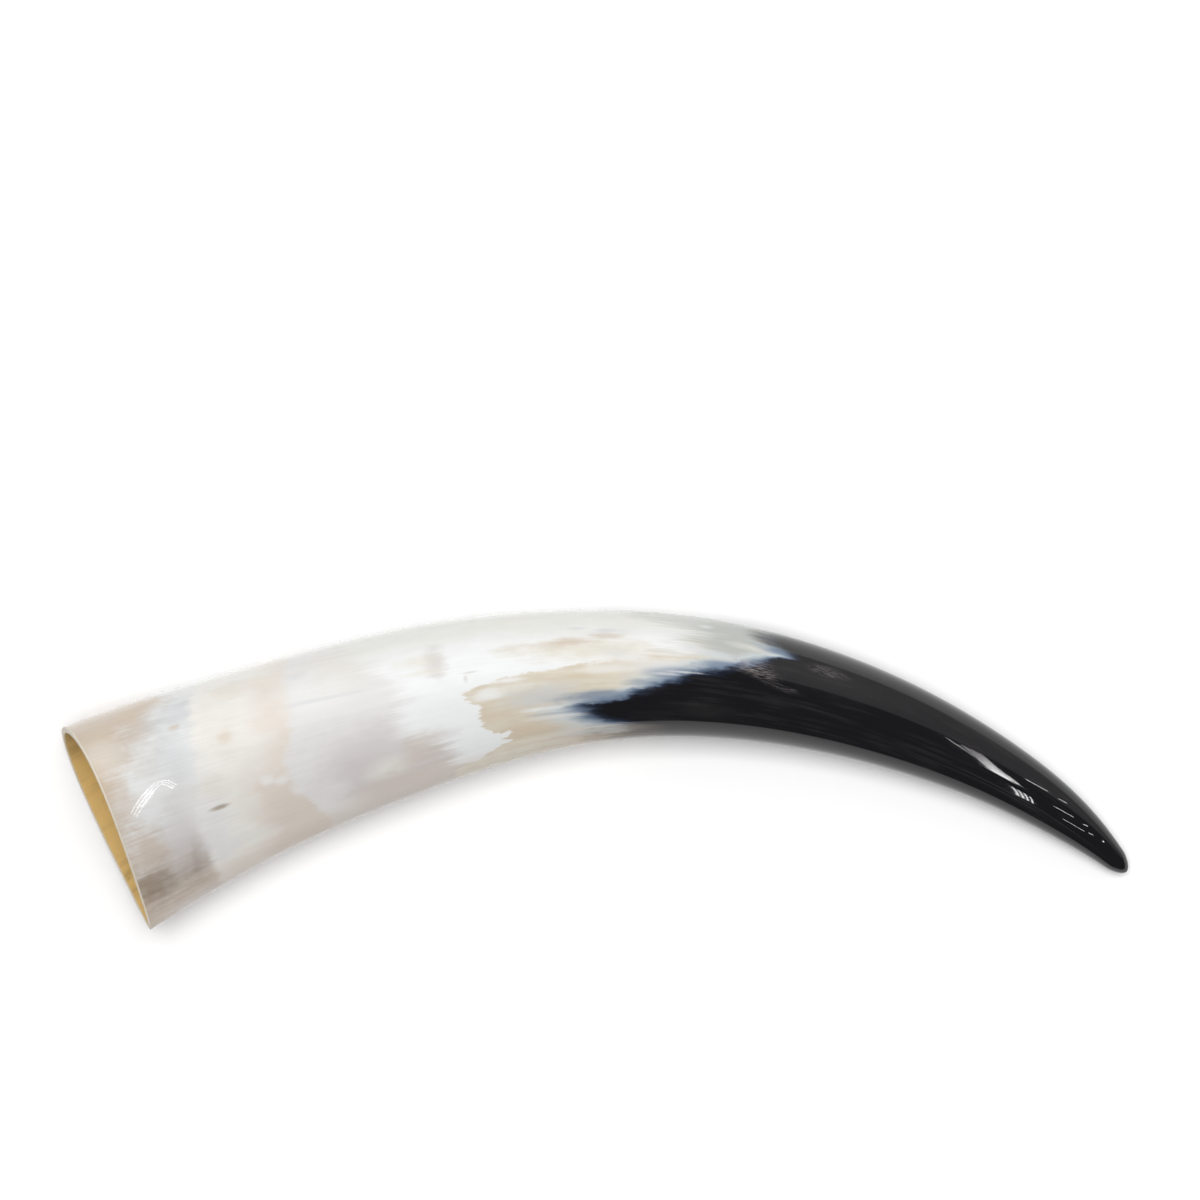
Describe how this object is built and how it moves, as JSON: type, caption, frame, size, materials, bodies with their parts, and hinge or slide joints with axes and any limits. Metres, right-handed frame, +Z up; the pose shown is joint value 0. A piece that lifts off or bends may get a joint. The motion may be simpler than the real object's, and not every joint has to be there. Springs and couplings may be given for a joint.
{
  "type": "cow horn",
  "caption": "Polished curved cow horn with a hollow, sawn base and a solid dark tip, lying on its side.",
  "frame": {"origin": "on the table, below the middle of the horn's bounding box", "axes": "+X from the sawn base towards the tip, +Y towards the outer side of the bend, +Z up from the table"},
  "size_m": [0.4274, 0.1274, 0.0752],
  "materials": {
    "polished_horn": "polished, cream and white at the base and near-black at the tip"
  },
  "bodies": {
    "root": {"horn": "polished_horn"}
  },
  "joints": []
}
